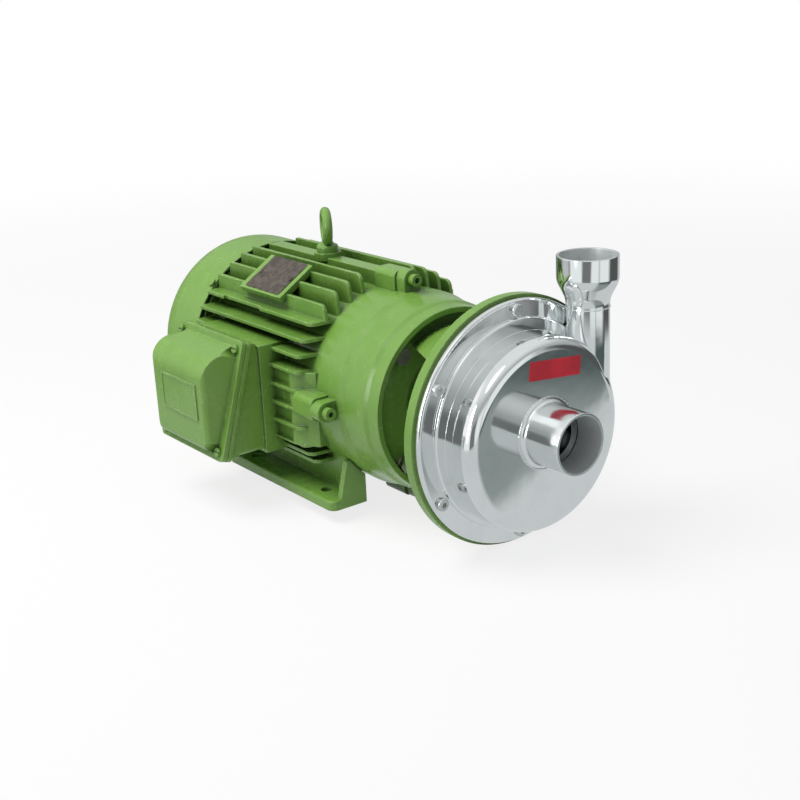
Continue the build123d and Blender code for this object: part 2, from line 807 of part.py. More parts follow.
def hood(shrink):
    """Hood of the lid: an arched top and upright front, between sides that lean in."""
    length, height = lid_size()
    joint = lid_plane(gasket_thickness)
    low_foot = joint.from_local_coords((0, -height / 2 + hood_foot_inset + shrink, 0))
    top_foot = joint.from_local_coords((0, height / 2 - hood_foot_inset - shrink, 0))
    front_y = -hood_reach + shrink
    arch = FilletPolyline(
        (low_foot.Y, low_foot.Z), (front_y, hood_bottom + shrink), (front_y, hood_top - shrink / 2),
        (top_foot.Y, top_foot.Z), radius=[0, hood_low_round - shrink, hood_top_round - shrink, 0], close=True)
    body = extrude(Plane.YZ.offset(box_middle) * make_face(arch), length / 2, both=True)
    foot_half = length / 2 - hood_foot_inset - shrink
    front_half = length / 2 - hood_inset - shrink
    sides = Polyline(
        (box_middle - foot_half, -lid_top_reach), (box_middle - front_half, front_y),
        (box_middle + front_half, front_y), (box_middle + foot_half, -lid_top_reach), close=True)
    taper = extrude(Plane.XY.offset(lid_bottom - 20) * make_face(sides), lid_top - lid_bottom + 40)
    taper = fillet(taper.edges().filter_by(Axis.Z).group_by(Axis.Y)[0], hood_edge_round - shrink / 2)
    return body & taper


def terminal_box_lid():
    """Hooded lid with screw pockets and a raised plain panel on its front."""
    length, height = lid_size()
    flange = extrude(lid_plane(gasket_thickness) * RectangleRounded(length, height, lid_corner_r), lid_flange)
    inside = hood(lid_wall)
    shape = flange + hood(0)
    shape -= inside
    pockets = []
    walls = []
    for x, y in lid_corners(lid_screw_inset):
        corner = (x + math.copysign(6, x), y + math.copysign(6, y))
        place = lid_plane(gasket_thickness) * Pos(x, y)
        wall = extrude(place * Circle(screw_pocket_r + 2.2), 60)
        walls.append(wall & hood(0))
        seat = lid_plane(gasket_thickness + lid_flange)
        pockets.append(extrude(seat * Pos(x, y) * Circle(screw_pocket_r), 70))
        pockets.append(extrude(seat * Pos(*corner) * Rectangle(15, 15), 70))
        pockets.append(extrude(lid_plane() * Pos(x, y) * Circle(m5[0] / 2), 20))
    shape += walls
    shape -= pockets
    panel_plane = Plane(origin=(box_middle + panel_side, -hood_reach, panel_middle),
                        x_dir=(1, 0, 0), z_dir=(0, -1, 0))
    panel = extrude(panel_plane.offset(-1) * RectangleRounded(panel_length, panel_height, 2), panel_raise + 1)
    panel -= extrude(panel_plane.offset(panel_raise / 2) * RectangleRounded(
        panel_length - 5, panel_height - 5, 1.5), panel_raise)
    return shape + panel


def lid_screws():
    """Four screws of the lid."""
    shank, head, height = m5
    shapes = []
    seat = gasket_thickness + lid_flange
    for x, y in lid_corners(lid_screw_inset):
        body = extrude(lid_plane(seat) * Pos(x, y) * Circle(head / 2 + 0.5), height)
        body -= extrude(lid_plane(seat + height - 1.2) * Pos(x, y) * Rectangle(head + 3, 1.3), 2)
        body += extrude(lid_plane(seat - 18) * Pos(x, y) * Circle(shank / 2), 18)
        shapes.append(body)
    return shapes


def box_fixing_screws():
    """Four screws inside the box, into the frame pad."""
    shapes = []
    for x, z in box_screw_places():
        head = Pos(x, -box_floor - m5[2] / 2, z) * Rot(90, 0, 0) * Cylinder(m5[1] / 2, m5[2])
        shank = Pos(x, -box_floor + 8, z) * Rot(90, 0, 0) * Cylinder(m5[0] / 2, 16)
        shapes.append(head + shank)
    return shapes


def cable_entry_plug():
    """Hexagonal blanking plug in the rear cable entry."""
    seat = box_low - entry_boss
    head = extrude(Plane.XY.offset(seat - plug_head) * RegularPolygon(plug_af / 2, 6, major_radius=False),
                   plug_head)
    stem = Pos(0, 0, seat + 5) * Cylinder(entry_r, 10)
    return Pos(entry_places()[0], entry_y, 0) * (head + stem)


def terminal_block():
    """Moulded block that carries the terminal studs."""
    base = block(box_middle - block_length / 2, box_middle + block_length / 2,
                 -box_floor - block_thickness, -box_floor, -block_width / 2, block_width / 2)
    base = fillet(base.edges().filter_by(Axis.Y), 3)
    wire_hole = Cylinder(wire_hole_r / 2, block_thickness * 3)
    base -= Pos(box_middle, -box_floor - 1, 0) * Rot(90, 0, 0) * wire_hole
    for x, z in terminal_places():
        base -= Pos(x, -box_floor, z) * Rot(90, 0, 0) * Cylinder(terminal_r, block_thickness * 3)
    return base


def terminal_places():
    """Places of the six studs."""
    return [(box_middle + step * terminal_pitch, row * terminal_rows / 2)
            for step in (-1, 0, 1) for row in (-1, 1)]


def terminal_studs():
    """Six brass studs, each with a nut."""
    top = box_floor + block_thickness
    shapes = []
    for x, z in terminal_places():
        stud = Pos(x, -top + 2, z) * Rot(90, 0, 0) * Cylinder(terminal_r, 14)
        nut = Pos(x, -top, z) * Rot(90, 0, 0) * extrude(RegularPolygon(4, 6, major_radius=False), 3.2)
        shapes.append(stud + nut)
    return shapes


def earth_place():
    """X place of the earth screw, between the block and the side wall."""
    return box_x1 - box_wall - 9.0


def earth_screw():
    """Earth screw in the back wall of the box, beside the block."""
    head = Pos(earth_place(), -box_floor, 0) * Rot(90, 0, 0) * extrude(
        RegularPolygon(m5[1] / 2, 6, major_radius=False), m5[2])
    shank = Pos(earth_place(), -box_floor + box_wall / 2, 0) * Rot(90, 0, 0) * Cylinder(m5[0] / 2, box_wall)
    return head + shank


def bearing_rings(data, x0):
    """Outer ring, inner ring and the ball set of one deep-groove bearing."""
    bore, outside, width, ball, count = data
    pitch = (bore + outside) / 4
    middle = x0 + width / 2
    groove = Pos(middle, 0, 0) * Rot(0, 90, 0) * Torus(pitch, ball / 2 + race_gap)
    outer = ring(x0, x0 + width, outside / 2, pitch + ball * 0.31) - groove
    inner = ring(x0, x0 + width, pitch - ball * 0.31, bore / 2) - groove
    cage = ring(middle - ball * 0.6, middle + ball * 0.6, pitch + ball * 0.09, pitch - ball * 0.09)
    balls = [Pos(middle, 0, 0) * Rot(step * 360 / count, 0, 0) * Pos(0, pitch, 0) * Sphere(ball / 2)
             for step in range(count)]
    pockets = [Pos(middle, 0, 0) * Rot(step * 360 / count, 0, 0) * Pos(0, pitch, 0) * Sphere(ball / 2 + 0.1)
               for step in range(count)]
    cage -= pockets
    return outer, inner, [cage] + balls


def wave_washer():
    """Preload washer, drawn pressed flat between the housing shoulder and the rear bearing."""
    return ring(rear_bearing_x - wave_washer_thickness, rear_bearing_x, rear_bearing[1] / 2 - 0.3, 24.5)


def front_oil_seal():
    """Lip seal in the drive-end shield, in front of the bearing."""
    x1 = seat_face - 0.5
    return ring(x1 - oil_seal_width, x1, 27.0, front_bearing[0] / 2 - 0.5 + lip_gap)


def stator_slots(grow, depth, x0, x1):
    """Radial slots with a narrow opening, all round the bore."""
    outer = stator_bore_r + depth
    shapes = []
    for step in range(slot_count):
        wide = block(x0, x1, stator_bore_r + 2, outer, -slot_width / 2 + grow, slot_width / 2 - grow)
        shapes.append(Rot(step * 360 / slot_count, 0, 0) * wide)
    return shapes


def stator_core():
    """Laminated core with its slots."""
    core = ring(core_rear, core_front, stator_r, stator_bore_r)
    mouth = block(core_rear - 1, core_front + 1, stator_bore_r - 1, stator_bore_r + 3,
                  -slot_opening / 2, slot_opening / 2)
    narrow = [Rot(step * 360 / slot_count, 0, 0) * mouth for step in range(slot_count)]
    core -= stator_slots(0, slot_depth, core_rear - 1, core_front + 1) + narrow
    return core


def stator_windings():
    """Coil sides in the slots joined by an end turn at each end."""
    inner = stator_bore_r + 5
    outer = stator_r - 6
    ends = []
    for x0, x1 in ((core_front + 3, core_front + winding_overhang),
                   (core_rear - winding_overhang, core_rear - 3)):
        end = ring(x0, x1, outer, inner)
        ends.append(fillet(end.edges(), 5))
    bars = stator_slots(slot_liner, slot_depth - slot_liner, core_rear - 8, core_front + 8)
    return ends[0] + [ends[1]] + bars


def rotor_core():
    """Laminated rotor on the shaft."""
    return ring(core_rear, core_front, stator_bore_r - air_gap, core_seat_r)


def squirrel_cage():
    """Cast end rings with small vanes."""
    outer = stator_bore_r - air_gap - 1
    shapes = []
    for x0, x1, tip in ((core_front, core_front + cage_ring_length, 1),
                        (core_rear - cage_ring_length, core_rear, -1)):
        end = ring(x0, x1, outer, outer - cage_ring_depth)
        edge = x1 if tip > 0 else x0
        vanes = [Rot(step * 360 / cage_vane_count, 0, 0) * block(
            edge - tip, edge + tip * cage_vane_length, outer - cage_ring_depth + 3, outer - 3, -1.5, 1.5)
            for step in range(cage_vane_count)]
        shapes.append(end + vanes)
    return shapes


def motor_shaft():
    """Stepped shaft from the fan to the impeller, with its keyways."""
    front_r = front_bearing[0] / 2
    rear_r = rear_bearing[0] / 2
    front_end = front_bearing_x + front_bearing[2]
    rear_end = rear_bearing_x + rear_bearing[2]
    hub_seat = hub_rear() - 0.5
    shaft = turned([
        (shaft_tail, 0), (shaft_tail, fan_seat_r - 1), (shaft_tail + 1, fan_seat_r),
        (rear_bearing_x, fan_seat_r), (rear_bearing_x, rear_r), (rear_end, rear_r),
        (rear_end, rear_r + 4), (core_rear - 12, rear_r + 4), (core_rear - 12, core_seat_r),
        (core_front + 12, core_seat_r), (core_front + 12, shaft_middle_r), (front_bearing_x, shaft_middle_r),
        (front_bearing_x, front_r), (front_end, front_r), (front_end, front_r - 0.5),
        (seat_face + 2, front_r - 0.5), (seat_face + 2, shaft_nose_r), (hub_seat, shaft_nose_r),
        (hub_seat, impeller_seat_r), (hub_front() - 1, impeller_seat_r), (hub_front() - 1, impeller_thread_r),
        (nut_end() - 1, impeller_thread_r), (nut_end(), impeller_thread_r - 1), (nut_end(), 0)])
    shaft -= impeller_key()
    shaft -= fan_key()
    shaft -= ring(circlip_middle - circlip_thickness / 2, circlip_middle + circlip_thickness / 2,
                  fan_seat_r + 5, fan_seat_r - 1)
    return shaft


def impeller_key():
    """Key between the shaft and the impeller hub."""
    x0 = impeller_back
    seat = impeller_seat_r - 3.5
    return block(x0, x0 + 16, seat, seat + key_height, -key_width / 2, key_width / 2)


def fan_key():
    """Key between the shaft and the fan."""
    x0 = fan_rear + 5
    seat = fan_seat_r - 3
    return block(x0, x0 + 14, seat, seat + fan_key_size, -fan_key_size / 2, fan_key_size / 2)


def fan_circlip():
    """Open ring in its groove behind the fan hub."""
    clip = ring(circlip_middle - circlip_thickness / 2, circlip_middle + circlip_thickness / 2,
                fan_seat_r + 2.5, fan_seat_r - 1)
    return clip - block(shaft_tail, 0, -3, 3, -fan_seat_r - 4, 0)


def cooling_fan():
    """Radial fan: hub, plate and straight blades."""
    hub = ring(fan_rear, fan_front, fan_hub_r, fan_seat_r)
    plate = ring(fan_front - fan_plate, fan_front, fan_r, fan_seat_r + 2)
    fan = hub + plate
    blades = [Rot(step * 360 / fan_blade_count, 0, 0) * block(
        fan_front - fan_plate - fan_blade_height, fan_front - 1, fan_hub_r - 1, fan_r, -1.5, 1.5)
        for step in range(fan_blade_count)]
    fan += blades
    fan -= fan_key()
    return fan


def lantern():
    """Cast bracket: rear flange, two arms, and the disc that carries the casing."""
    outer_r = recess_r - lantern_clearance
    wall_rear = lantern_rear_r
    shape = turned([
        (seat_face, register_r), (seat_face, outer_r), (lantern_face, outer_r), (lantern_face, wall_rear),
        (disc_rear, lantern_front_r), (disc_rear, disc_r - disc_edge), (disc_rear + disc_edge, disc_r),
        (disc_front, disc_r), (disc_front, disc_bore_r), (disc_rear, disc_bore_r),
        (disc_rear - 2, lantern_front_r - lantern_wall), (lantern_face + 2, wall_rear - lantern_wall),
        (lantern_face, lantern_bore_r), (seat_face + register_height + 0.3, lantern_bore_r),
        (seat_face + register_height + 0.3, register_r)])
    half = lantern_window / 2
    window = block(lantern_face, disc_rear - lantern_gap_to_disc, -disc_r - 5, disc_r + 5, -half, half)
    window = fillet(window.edges().filter_by(Axis.Y).group_by(Axis.X)[-1], window_corner)
    shape -= window
    shape -= on_circle(rod(seat_face - 1, lantern_face + 1, m10[0] / 2), lantern_bolt_circle_r,
                       corner_angles)
    shape -= on_circle(rod(disc_rear - 1, disc_front + 1, m6[0] / 2), casing_bolt_circle_r,
                       casing_bolt_angles)
    return shape


def lantern_bolts():
    """Four bolts that hold the lantern in the recess of the end shield."""
    bolt = hex_screw(lantern_face, m10, lantern_flange + shield_wall + 12, washer_thickness)
    return on_circle(bolt, lantern_bolt_circle_r, corner_angles)


def lantern_washers():
    """Washers under the lantern bolts."""
    washer = ring(lantern_face, lantern_face + washer_thickness, 9.0, m10[0] / 2)
    return on_circle(washer, lantern_bolt_circle_r, corner_angles)


def back_plate():
    """Stainless plate behind the impeller, with the pocket that holds the seal."""
    wall = plate_thickness
    return turned([
        (disc_front, pocket_r + wall), (disc_front, plate_r), (plate_front, plate_r), (plate_front, pocket_r),
        (pocket_rear, pocket_r), (pocket_rear, seat_r + seat_cup), (boss_rear + cup_lip, seat_r + seat_cup),
        (boss_rear + cup_lip, seat_r + 0.5), (boss_rear, seat_r + 0.5), (boss_rear, pocket_r),
        (pocket_rear - wall, pocket_r + wall)])


def casing_outer():
    """Outside of the casing: flange with a round rim, step and offset drum."""
    rim = FilletPolyline(
        (disc_front, 0), (disc_front, flange_r), (flange_front, flange_r), (flange_front, 0),
        radius=[0, 0, flange_round, 0], close=True)
    body = revolve(Plane.XZ * make_face(rim), Axis.X)
    step = rod(flange_front - 1, step_front, step_r)
    step = fillet(step.faces().sort_by(Axis.X)[-1].edges(), 2.0)
    drum = rod(step_front - 1, casing_face, drum_r, drum_y, drum_z)
    drum = fillet(drum.faces().sort_by(Axis.X)[-1].edges(), drum_corner)
    return body + step + drum


def casing_shell():
    """Pressed casing: the outer form, hollow, with openings for both nozzles."""
    shape = casing_outer()
    inside = rod(plate_front - 0.01, casing_inside, drum_r - casing_sheet, drum_y, drum_z)
    inside = fillet(inside.faces().sort_by(Axis.X)[-1].edges(), drum_corner - casing_sheet)
    shape -= inside
    shape -= rod(disc_front - 1, plate_front, plate_r)
    shape -= rod(casing_inside - 1, casing_face + 1, suction_pipe_r)
    shape -= discharge_bar(neck_bore_r, discharge_root)
    shape -= Pos(plate_front + oring_section_r, 0, 0) * Rot(0, 90, 0) * Torus(oring_r, oring_section_r)
    shape -= ring(plate_front - 1, plate_front + oring_section_r, oring_r + oring_section_r,
                  oring_r - oring_section_r)
    shape -= on_circle(rod(disc_front - 1, flange_front + 1, m6[0] / 2), casing_bolt_circle_r,
                       casing_bolt_angles)
    return shape


def discharge_bar(radius, low, top=discharge_height):
    """Upright bar along the discharge line between two heights over the shaft."""
    return Pos(discharge_x, discharge_y, (low + top) / 2) * Cylinder(radius, top - low)


def discharge_neck():
    """Upright tube that stands on the side of the drum, its foot shaped to the casing."""
    top = discharge_height - socket_length - reducer_length
    bore = discharge_bar(neck_bore_r, discharge_root - 1, top + 1)
    return discharge_bar(neck_r, discharge_root, top) - bore - casing_outer()


def discharge_socket():
    """Reducer and wide socket on top of the neck."""
    top = discharge_height
    shoulder = top - socket_length
    foot = shoulder - reducer_length
    outer = Polyline(
        (0, foot), (neck_r, foot), (neck_r + 0.6, foot + 4), (suction_pipe_r - 1.2, shoulder - 4),
        (suction_pipe_r, shoulder), (suction_pipe_r, top - 0.6), (suction_pipe_r - 0.6, top), (0, top),
        close=True)
    inner = Polyline(
        (0, foot - 1), (neck_bore_r, foot - 1), (neck_bore_r, foot + 4),
        (throat_r, top - socket_bore_depth - 3), (suction_bore_r, top - socket_bore_depth),
        (suction_bore_r, top + 1), (0, top + 1), close=True)
    shape = revolve(Plane.XZ * make_face(outer), Axis.Z) - revolve(Plane.XZ * make_face(inner), Axis.Z)
    return Pos(discharge_x, discharge_y, 0) * shape


def suction_nozzle():
    """Pipe stub in the casing face, stepped down to the impeller throat."""
    inner_end = casing_inside - throat_inner
    mouth = suction_end
    step = mouth - suction_bore_depth
    return turned([
        (inner_end, neck_outer_r + neck_running_gap), (inner_end, suction_pipe_r),
        (mouth - 0.6, suction_pipe_r),
        (mouth, suction_pipe_r - 0.6), (mouth, suction_bore_r + 0.4), (mouth - 0.4, suction_bore_r),
        (step, suction_bore_r), (step - 2, throat_r), (casing_inside + 1, throat_r),
        (casing_inside + 1, neck_outer_r + neck_running_gap)])


def weld_beads():
    """Bead round the suction nozzle and bead at the foot of the reducer."""
    suction = Pos(casing_face, 0, 0) * Rot(0, 90, 0) * Torus(suction_pipe_r, weld_r)
    suction -= rod(casing_face - 10, casing_face, suction_pipe_r + 10)
    suction -= rod(casing_face - 10, casing_face + 10, suction_pipe_r)
    foot = discharge_height - socket_length - reducer_length
    seam = Pos(discharge_x, discharge_y, foot) * Torus(neck_r, weld_r * 0.6)
    seam -= Pos(discharge_x, discharge_y, foot) * Cylinder(neck_r, 8)
    seam -= discharge_socket()
    seam -= casing_outer()
    return [suction, seam]


def casing_bolts():
    """Six round-head bolts of the casing flange."""
    length = flange_thickness + disc_thickness + 7.5
    shape = rod(flange_front - length, flange_front, m6[0] / 2)
    head = rod(flange_front, flange_front + casing_head, casing_head_r)
    head = fillet(head.faces().sort_by(Axis.X)[-1].edges(), 1.8)
    head -= hexagon(flange_front + casing_head * 0.4, flange_front + casing_head + 1, 5.0)
    return on_circle(shape + head, casing_bolt_circle_r, casing_bolt_angles)


def casing_nuts():
    """Nuts behind the disc."""
    nut = hexagon(disc_rear - 5.0, disc_rear, m6[1]) - rod(disc_rear - 6, disc_rear + 1, m6[0] / 2)
    return on_circle(nut, casing_bolt_circle_r, casing_bolt_angles)


def casing_oring():
    """O-ring between the back plate and the casing."""
    return Pos(plate_front + oring_section_r, 0, 0) * Rot(0, 90, 0) * Torus(oring_r, oring_section_r)


def blade():
    """One backward-swept impeller blade, a curved wall between two radii."""
    points = []
    for step in range(7):
        share = step / 6
        radius = blade_inlet_r + (impeller_r - 1 - blade_inlet_r) * share
        angle = math.radians(-blade_sweep * share ** 0.8)
        points.append((radius * math.cos(angle), radius * math.sin(angle)))
    centre = Spline(*points)
    lead = [centre.position_at(t) for t in (0, 0.2, 0.4, 0.6, 0.8, 1)]
    side = []
    for t in (0, 0.2, 0.4, 0.6, 0.8, 1):
        tangent = centre.tangent_at(t)
        side.append(centre.position_at(t) + Vector(-tangent.Y, tangent.X, 0) * blade_thickness)
    first = Spline(*lead)
    second = Spline(*side)
    face = make_face([first, Line(lead[-1], side[-1]), second, Line(side[0], lead[0])])
    x0 = impeller_back + impeller_shroud
    return extrude(Plane.YZ.offset(x0 - 1) * face, 40)


def impeller():
    """Closed impeller: hub, back shroud, blades, front shroud and neck."""
    back = impeller_back
    channel = back + impeller_shroud
    rim_front = channel + impeller_outlet
    eye_front = channel + impeller_inlet
    neck_end = casing_inside + 1 - impeller_neck_end_gap
    rear = turned([
        (hub_rear(), impeller_seat_r), (hub_rear(), sleeve_r), (back, sleeve_r), (back, impeller_r),
        (channel, impeller_r), (channel + 0.5, impeller_hub_r + 14), (channel + 12, impeller_hub_r),
        (hub_front(), impeller_hub_r), (hub_front(), impeller_seat_r)])
    front = turned([
        (rim_front, impeller_r), (rim_front + impeller_shroud, impeller_r),
        (eye_front + impeller_shroud, neck_outer_r + 4), (eye_front + impeller_shroud + 2, neck_outer_r),
        (neck_end, neck_outer_r), (neck_end, impeller_eye_r), (eye_front, impeller_eye_r),
        (eye_front - 1, impeller_eye_r + 3)])
    space = turned([
        (channel - 1, blade_inlet_r - 4), (channel - 1, impeller_r), (rim_front + 1, impeller_r),
        (eye_front + 0.5, neck_outer_r), (eye_front - 0.2, blade_inlet_r - 4)])
    blades = [Rot(step * 360 / blade_count, 0, 0) * blade() for step in range(blade_count)]
    shape = rear + front + [item & space for item in blades]
    shape -= impeller_key()
    return shape


def hub_rear():
    """Rear end of the impeller hub, where the sleeve ends."""
    return plate_front - 2.0


def hub_front():
    """Front end of the impeller hub, where the nut sits."""
    return hub_rear() + hub_length


def nut_end():
    """Front end of the shaft thread, inside the domed nut."""
    return hub_front() + nut_length - 3.0


def impeller_nut():
    """Domed nut that holds the impeller on the shaft."""
    x0 = hub_front()
    nut = hexagon(x0, x0 + nut_length - 5, nut_af)
    nut += rod(x0 + nut_length - 5, x0 + nut_length, nut_af / 2 - 1)
    end = x0 + nut_length
    half = nut_af / 2
    nut = nut & turned([(x0, 0), (x0, half + 1.2), (x0 + 1.5, half + 2), (end - 4, half + 1),
                        (end - 1.5, half - 3), (end, half / 2), (end, 0)])
    nut -= turned([(x0 - 1, 0), (x0 - 1, impeller_thread_r), (nut_end() - 1, impeller_thread_r),
                   (nut_end(), impeller_thread_r - 1), (nut_end(), 0)])
    return nut


def shaft_sleeve():
    """Sleeve that carries the turning half of the seal."""
    return ring(sleeve_start, hub_rear(), sleeve_r, shaft_nose_r)


def seal_seat():
    """Ceramic seat, fixed in the back plate."""
    return ring(seat_face_x - seat_length, seat_face_x, seat_r, sleeve_r + seat_bore_gap)


def seal_seat_cup():
    """Rubber cup round the seat."""
    x0 = seat_face_x - seat_length
    return turned([
        (x0 - cup_lip, cup_lip_r), (x0 - cup_lip, seat_r + 0.5), (x0, seat_r + 0.5),
        (x0, seat_r + seat_cup), (seat_face_x - 1, seat_r + seat_cup), (seat_face_x - 1, seat_r),
        (x0, seat_r), (x0, cup_lip_r)])


def seal_ring():
    """Carbon ring that turns against the seat."""
    x0 = seat_face_x + seal_film
    return ring(x0, x0 + seal_ring_length, seal_ring_r, sleeve_r)


def seal_bellows():
    """Rubber bellows with shallow folds."""
    x0 = seat_face_x + seal_film + seal_ring_length
    folds = []
    for step in range(4):
        start = x0 + step * bellows_length / 4
        folds += [(start, bellows_r), (start + bellows_length / 8, bellows_r - 1.2)]
    end = x0 + bellows_length
    return turned([(x0, sleeve_r)] + folds + [(end, bellows_r), (end, sleeve_r)])


def seal_spring():
    """Coil spring round the bellows."""
    x0 = seat_face_x + seal_film + seal_ring_length + spring_wire_r
    length = retainer_x() - x0 - spring_wire_r
    coil = Helix(pitch=length / spring_turns, height=length, radius=spring_r)
    start = coil.position_at(0)
    section = Plane(origin=start, x_dir=(1, 0, 0), z_dir=coil.tangent_at(0)) * Circle(spring_wire_r)
    return Pos(x0, 0, 0) * Rot(0, 90, 0) * sweep(section, path=coil)


def retainer_x():
    """Rear face of the spring retainer."""
    return seat_face_x + seal_film + seal_ring_length + bellows_length


def spring_retainer():
    """Pressed ring that holds the spring against the impeller hub."""
    return ring(retainer_x(), retainer_x() + retainer_length, spring_r + 2, sleeve_r)


def water_flinger():
    """Rubber ring with a thin lip that throws off water."""
    return turned([
        (flinger_x, shaft_nose_r), (flinger_x, shaft_nose_r + 5), (flinger_x + 2, flinger_r),
        (flinger_x + 2 + flinger_lip, flinger_r), (flinger_x + flinger_lip + 1.5, shaft_nose_r + 5),
        (flinger_x + flinger_length, shaft_nose_r + 5), (flinger_x + flinger_length, shaft_nose_r)])


def name_label():
    """Blank label on the polished face."""
    plane = Plane(origin=(casing_face, label_y, label_z), x_dir=(0, 1, 0), z_dir=(1, 0, 0))
    outline = RectangleRounded(label_length, label_height, 1.5)
    return extrude(plane * Rot(0, 0, label_turn) * outline, label_thickness)


def save(node, shape):
    """Lift a piece to the shaft height and write it."""
    pieces = shape if isinstance(shape, (list, tuple)) else [shape]
    solids = []
    for piece in pieces:
        solids += (Pos(0, 0, shaft_height) * piece).solids()
    result = solids[0] if len(solids) == 1 else Compound(children=solids)
    export_step(result, f"parts/{node}.step")


os.makedirs("parts", exist_ok=True)

front_outer, front_inner, front_balls = bearing_rings(front_bearing, front_bearing_x)
rear_outer, rear_inner, rear_balls = bearing_rings(rear_bearing, rear_bearing_x)

nodes = {
    "motor_frame": motor_frame(),
    "drive_end_shield": drive_end_shield(),
    "rear_end_shield": rear_end_shield(),
    "front_shield_bolts": frame_bolts(),
    "rear_shield_bolts": rear_shield_bolts(),
    "fan_cover": fan_cover(),
    "fan_cover_screws": cover_screw_set(m5[0] / 2, m5[1] / 2 + 0.5),
    "eyebolt": eyebolt(),
    "nameplate": nameplate(),
    "nameplate_rivets": [Rot(plate_angle - 90, 0, 0) * pin for pin in rivets(rivet_length, rivet_r + 1.0)],
    "terminal_box_body": terminal_box_body(),
    "box_base_gasket": box_base_gasket(),
    "box_lid_gasket": box_lid_gasket(),
    "terminal_box_lid": terminal_box_lid(),
    "lid_screws": lid_screws(),
    "box_fixing_screws": box_fixing_screws(),
    "cable_entry_plug": cable_entry_plug(),
    "terminal_block": terminal_block(),
    "terminal_studs": terminal_studs(),
    "earth_screw": earth_screw(),
    "front_bearing_outer_ring": front_outer,
    "front_bearing_inner_ring": front_inner,
    "front_bearing_balls": front_balls,
    "rear_bearing_outer_ring": rear_outer,
    "rear_bearing_inner_ring": rear_inner,
    "rear_bearing_balls": rear_balls,
    "wave_washer": wave_washer(),
    "front_oil_seal": front_oil_seal(),
    "stator_core": stator_core(),
    "stator_windings": stator_windings(),
    "rotor_core": rotor_core(),
    "squirrel_cage": squirrel_cage(),
    "motor_shaft": motor_shaft(),
    "cooling_fan": cooling_fan(),
    "fan_key": fan_key(),
    "fan_circlip": fan_circlip(),
    "lantern": lantern(),
    "lantern_bolts": lantern_bolts(),
    "lantern_washers": lantern_washers(),
    "back_plate": back_plate(),
    "casing_oring": casing_oring(),
    "casing_shell": casing_shell(),
    "suction_nozzle": suction_nozzle(),
    "discharge_neck": discharge_neck(),
    "discharge_socket": discharge_socket(),
    "weld_beads": weld_beads(),
    "casing_bolts": casing_bolts(),
    "casing_nuts": casing_nuts(),
    "name_label": name_label(),
    "shaft_sleeve": shaft_sleeve(),
    "impeller": impeller(),
    "impeller_key": impeller_key(),
    "impeller_nut": impeller_nut(),
    "seal_seat": seal_seat(),
    "seal_seat_cup": seal_seat_cup(),
    "seal_ring": seal_ring(),
    "seal_bellows": seal_bellows(),
    "seal_spring": seal_spring(),
    "spring_retainer": spring_retainer(),
    "water_flinger": water_flinger(),
}

for node, shape in nodes.items():
    save(node, shape)
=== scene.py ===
import bpy
import bmesh
import json
import math
from mathutils import Matrix, Vector


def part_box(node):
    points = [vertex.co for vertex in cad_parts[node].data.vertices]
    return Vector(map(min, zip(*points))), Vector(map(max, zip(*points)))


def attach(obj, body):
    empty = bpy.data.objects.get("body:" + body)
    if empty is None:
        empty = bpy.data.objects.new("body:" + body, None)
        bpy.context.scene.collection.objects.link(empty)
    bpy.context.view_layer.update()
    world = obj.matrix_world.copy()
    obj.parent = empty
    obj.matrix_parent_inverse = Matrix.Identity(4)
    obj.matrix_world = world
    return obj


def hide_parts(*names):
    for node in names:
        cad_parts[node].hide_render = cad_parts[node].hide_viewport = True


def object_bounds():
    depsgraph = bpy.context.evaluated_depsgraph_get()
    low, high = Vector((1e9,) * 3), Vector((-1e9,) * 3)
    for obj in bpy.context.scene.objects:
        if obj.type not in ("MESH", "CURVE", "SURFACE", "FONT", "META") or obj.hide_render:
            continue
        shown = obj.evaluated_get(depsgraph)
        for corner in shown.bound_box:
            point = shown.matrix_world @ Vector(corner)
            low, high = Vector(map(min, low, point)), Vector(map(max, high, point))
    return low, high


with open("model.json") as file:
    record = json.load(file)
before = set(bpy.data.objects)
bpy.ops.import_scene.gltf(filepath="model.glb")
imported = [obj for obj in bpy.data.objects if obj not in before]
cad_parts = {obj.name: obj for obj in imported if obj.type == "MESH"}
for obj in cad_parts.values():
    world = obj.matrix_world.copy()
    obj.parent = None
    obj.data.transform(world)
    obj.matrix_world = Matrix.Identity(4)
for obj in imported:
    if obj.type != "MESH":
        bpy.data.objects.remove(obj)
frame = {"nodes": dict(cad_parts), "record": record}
cad_low, cad_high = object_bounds()

SHAFT = Vector((0.0, 0.0, 0.112))
X_TO_Z = Matrix.Rotation(math.radians(-90), 3, "Y")


class Signal:
    """A socket of a material that takes part in sums."""

    def __init__(self, recipe, socket):
        self.recipe = recipe
        self.socket = socket

    def math(self, operation, *others):
        """Puts the signal and others through a Math node."""
        values = dict(enumerate([self, *others]))
        return self.recipe.node("ShaderNodeMath", {"operation": operation}, values)

    def __add__(self, other):
        return self.math("ADD", other)

    def __sub__(self, other):
        return self.math("SUBTRACT", other)

    def __mul__(self, other):
        return self.math("MULTIPLY", other)

    def __rsub__(self, other):
        return self.recipe.node("ShaderNodeMath", {"operation": "SUBTRACT"}, {0: other, 1: self})

    __radd__ = __add__
    __rmul__ = __mul__

    def step(self, low, high, to_low=0.0, to_high=1.0):
        """Goes smoothly from one value to another while the signal goes from low to high."""
        return self.recipe.node(
            "ShaderNodeMapRange", {"interpolation_type": "SMOOTHSTEP", "clamp": True},
            {0: self, 1: low, 2: high, 3: to_low, 4: to_high})


def set_stops(elements, stops):
    """Fills a colour ramp, which has two stops to begin with."""
    for index, (position, colour) in enumerate(stops):
        stop = elements[index] if index < 2 else elements.new(position)
        stop.position = position
        stop.color = colour


